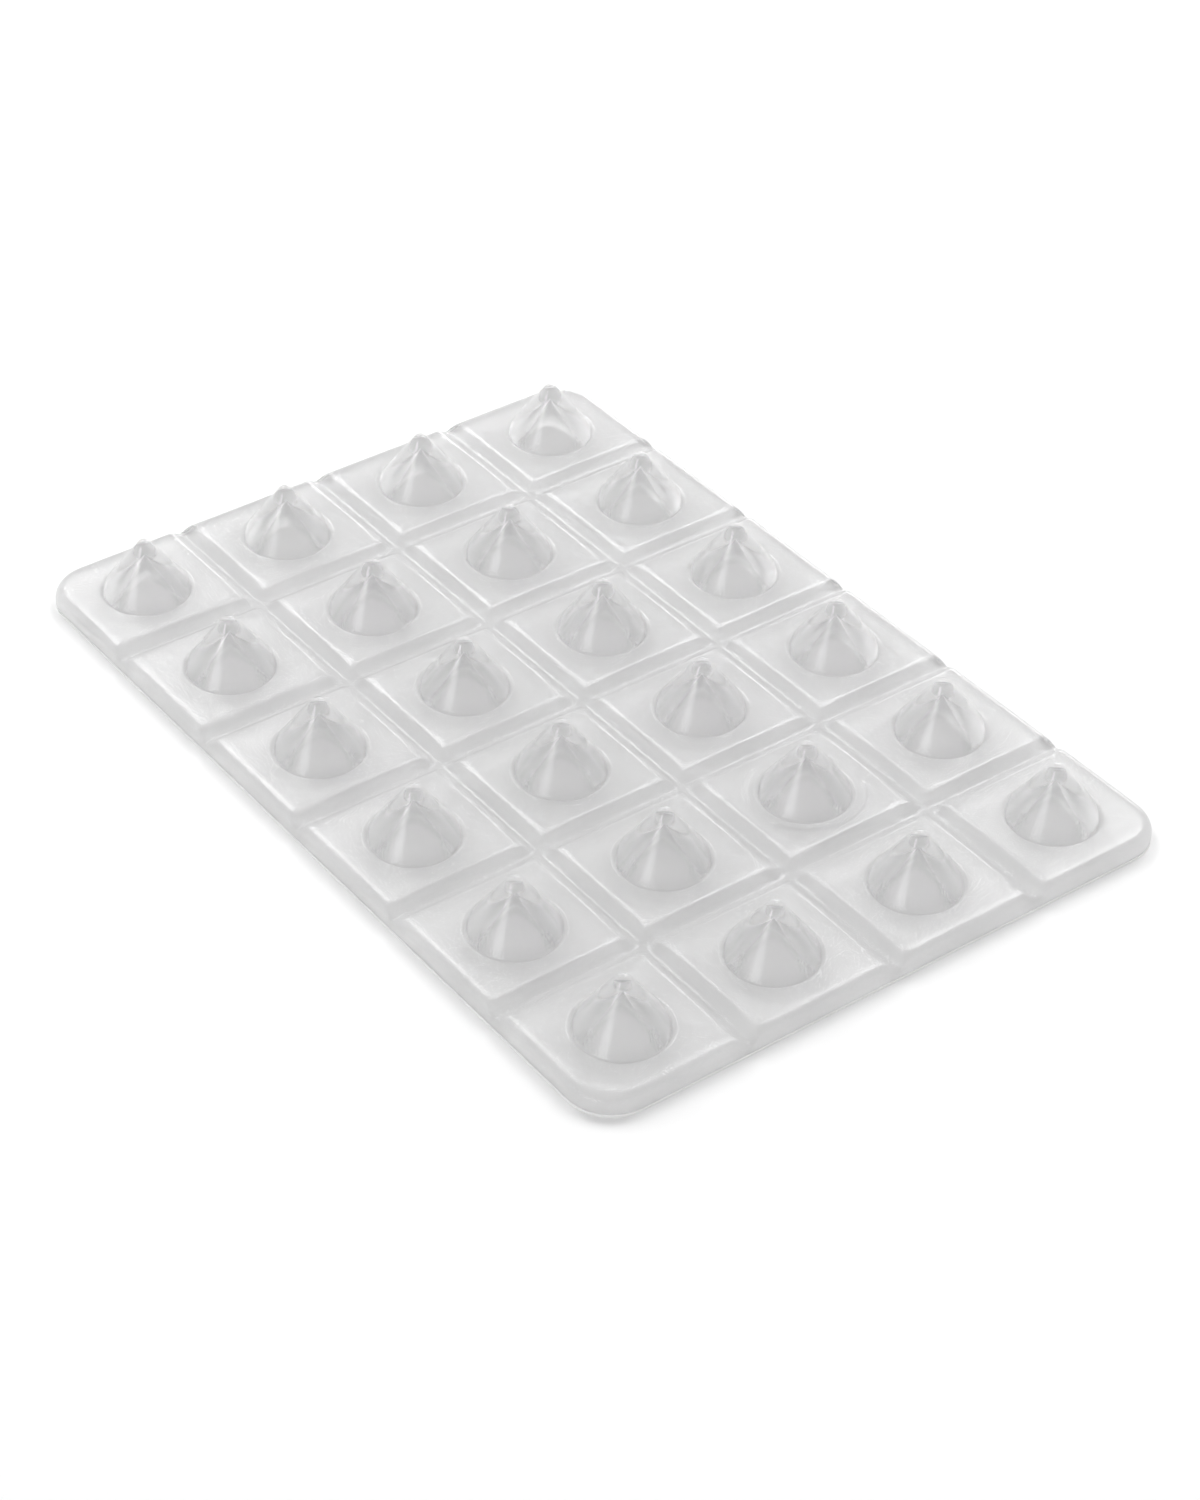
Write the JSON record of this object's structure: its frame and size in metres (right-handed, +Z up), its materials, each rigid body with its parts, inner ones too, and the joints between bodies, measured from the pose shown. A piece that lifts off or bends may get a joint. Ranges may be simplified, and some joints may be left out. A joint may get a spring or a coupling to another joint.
{
  "type": "stomp pad",
  "caption": "Rectangular stick-on stomp pad: a clear frosted moulded sheet of square cells, each with a hollow rounded spike, on an adhesive film and a release liner.",
  "frame": {"origin": "centre of the release liner's underside, on the surface the pad lies on", "axes": "+Z up through the spikes, +Y along the pad's long side, +X along its short side"},
  "size_m": [0.101, 0.1458, 0.012],
  "materials": {
    "moulding": "satin clear soft plastic with a fine orange-peel grain",
    "adhesive": "clear tacky film",
    "liner": "white siliconed release film"
  },
  "bodies": {
    "liner": {"release_liner": "liner"},
    "row_1": {"tile_r1_c1": "moulding", "tile_r1_c2": "moulding", "tile_r1_c3": "moulding", "tile_r1_c4": "moulding", "adhesive_row_1": "adhesive"},
    "row_2": {"tile_r2_c1": "moulding", "tile_r2_c2": "moulding", "tile_r2_c3": "moulding", "tile_r2_c4": "moulding", "adhesive_row_2": "adhesive", "flex_web_1": "moulding"},
    "row_3": {"tile_r3_c1": "moulding", "tile_r3_c2": "moulding", "tile_r3_c3": "moulding", "tile_r3_c4": "moulding", "adhesive_row_3": "adhesive", "flex_web_2": "moulding", "flex_web_3": "moulding"},
    "row_4": {"tile_r4_c1": "moulding", "tile_r4_c2": "moulding", "tile_r4_c3": "moulding", "tile_r4_c4": "moulding", "adhesive_row_4": "adhesive", "flex_web_4": "moulding"},
    "row_5": {"tile_r5_c1": "moulding", "tile_r5_c2": "moulding", "tile_r5_c3": "moulding", "tile_r5_c4": "moulding", "adhesive_row_5": "adhesive", "flex_web_5": "moulding"},
    "row_6": {"tile_r6_c1": "moulding", "tile_r6_c2": "moulding", "tile_r6_c3": "moulding", "tile_r6_c4": "moulding", "adhesive_row_6": "adhesive"}
  },
  "joints": [
    {"name": "liner_release", "type": "slide", "parent": "liner", "child": "row_3", "axis": [0, 0, 1], "range_m": [0, 0.05]},
    {"name": "flex_groove_1", "type": "hinge", "parent": "row_2", "child": "row_1", "pos_m": [0, -0.0488, 0.0011], "axis": [-1, 0, 0], "range_deg": [0, 30], "deforming": ["flex_web_1"]},
    {"name": "flex_groove_2", "type": "hinge", "parent": "row_3", "child": "row_2", "pos_m": [0, -0.0244, 0.0011], "axis": [-1, 0, 0], "range_deg": [0, 30], "deforming": ["flex_web_2"]},
    {"name": "flex_groove_3", "type": "hinge", "parent": "row_3", "child": "row_4", "pos_m": [0, 0, 0.0011], "axis": [1, 0, 0], "range_deg": [0, 30], "deforming": ["flex_web_3"]},
    {"name": "flex_groove_4", "type": "hinge", "parent": "row_4", "child": "row_5", "pos_m": [0, 0.0244, 0.0011], "axis": [1, 0, 0], "range_deg": [0, 30], "deforming": ["flex_web_4"]},
    {"name": "flex_groove_5", "type": "hinge", "parent": "row_5", "child": "row_6", "pos_m": [0, 0.0488, 0.0011], "axis": [1, 0, 0], "range_deg": [0, 30], "deforming": ["flex_web_5"]}
  ]
}
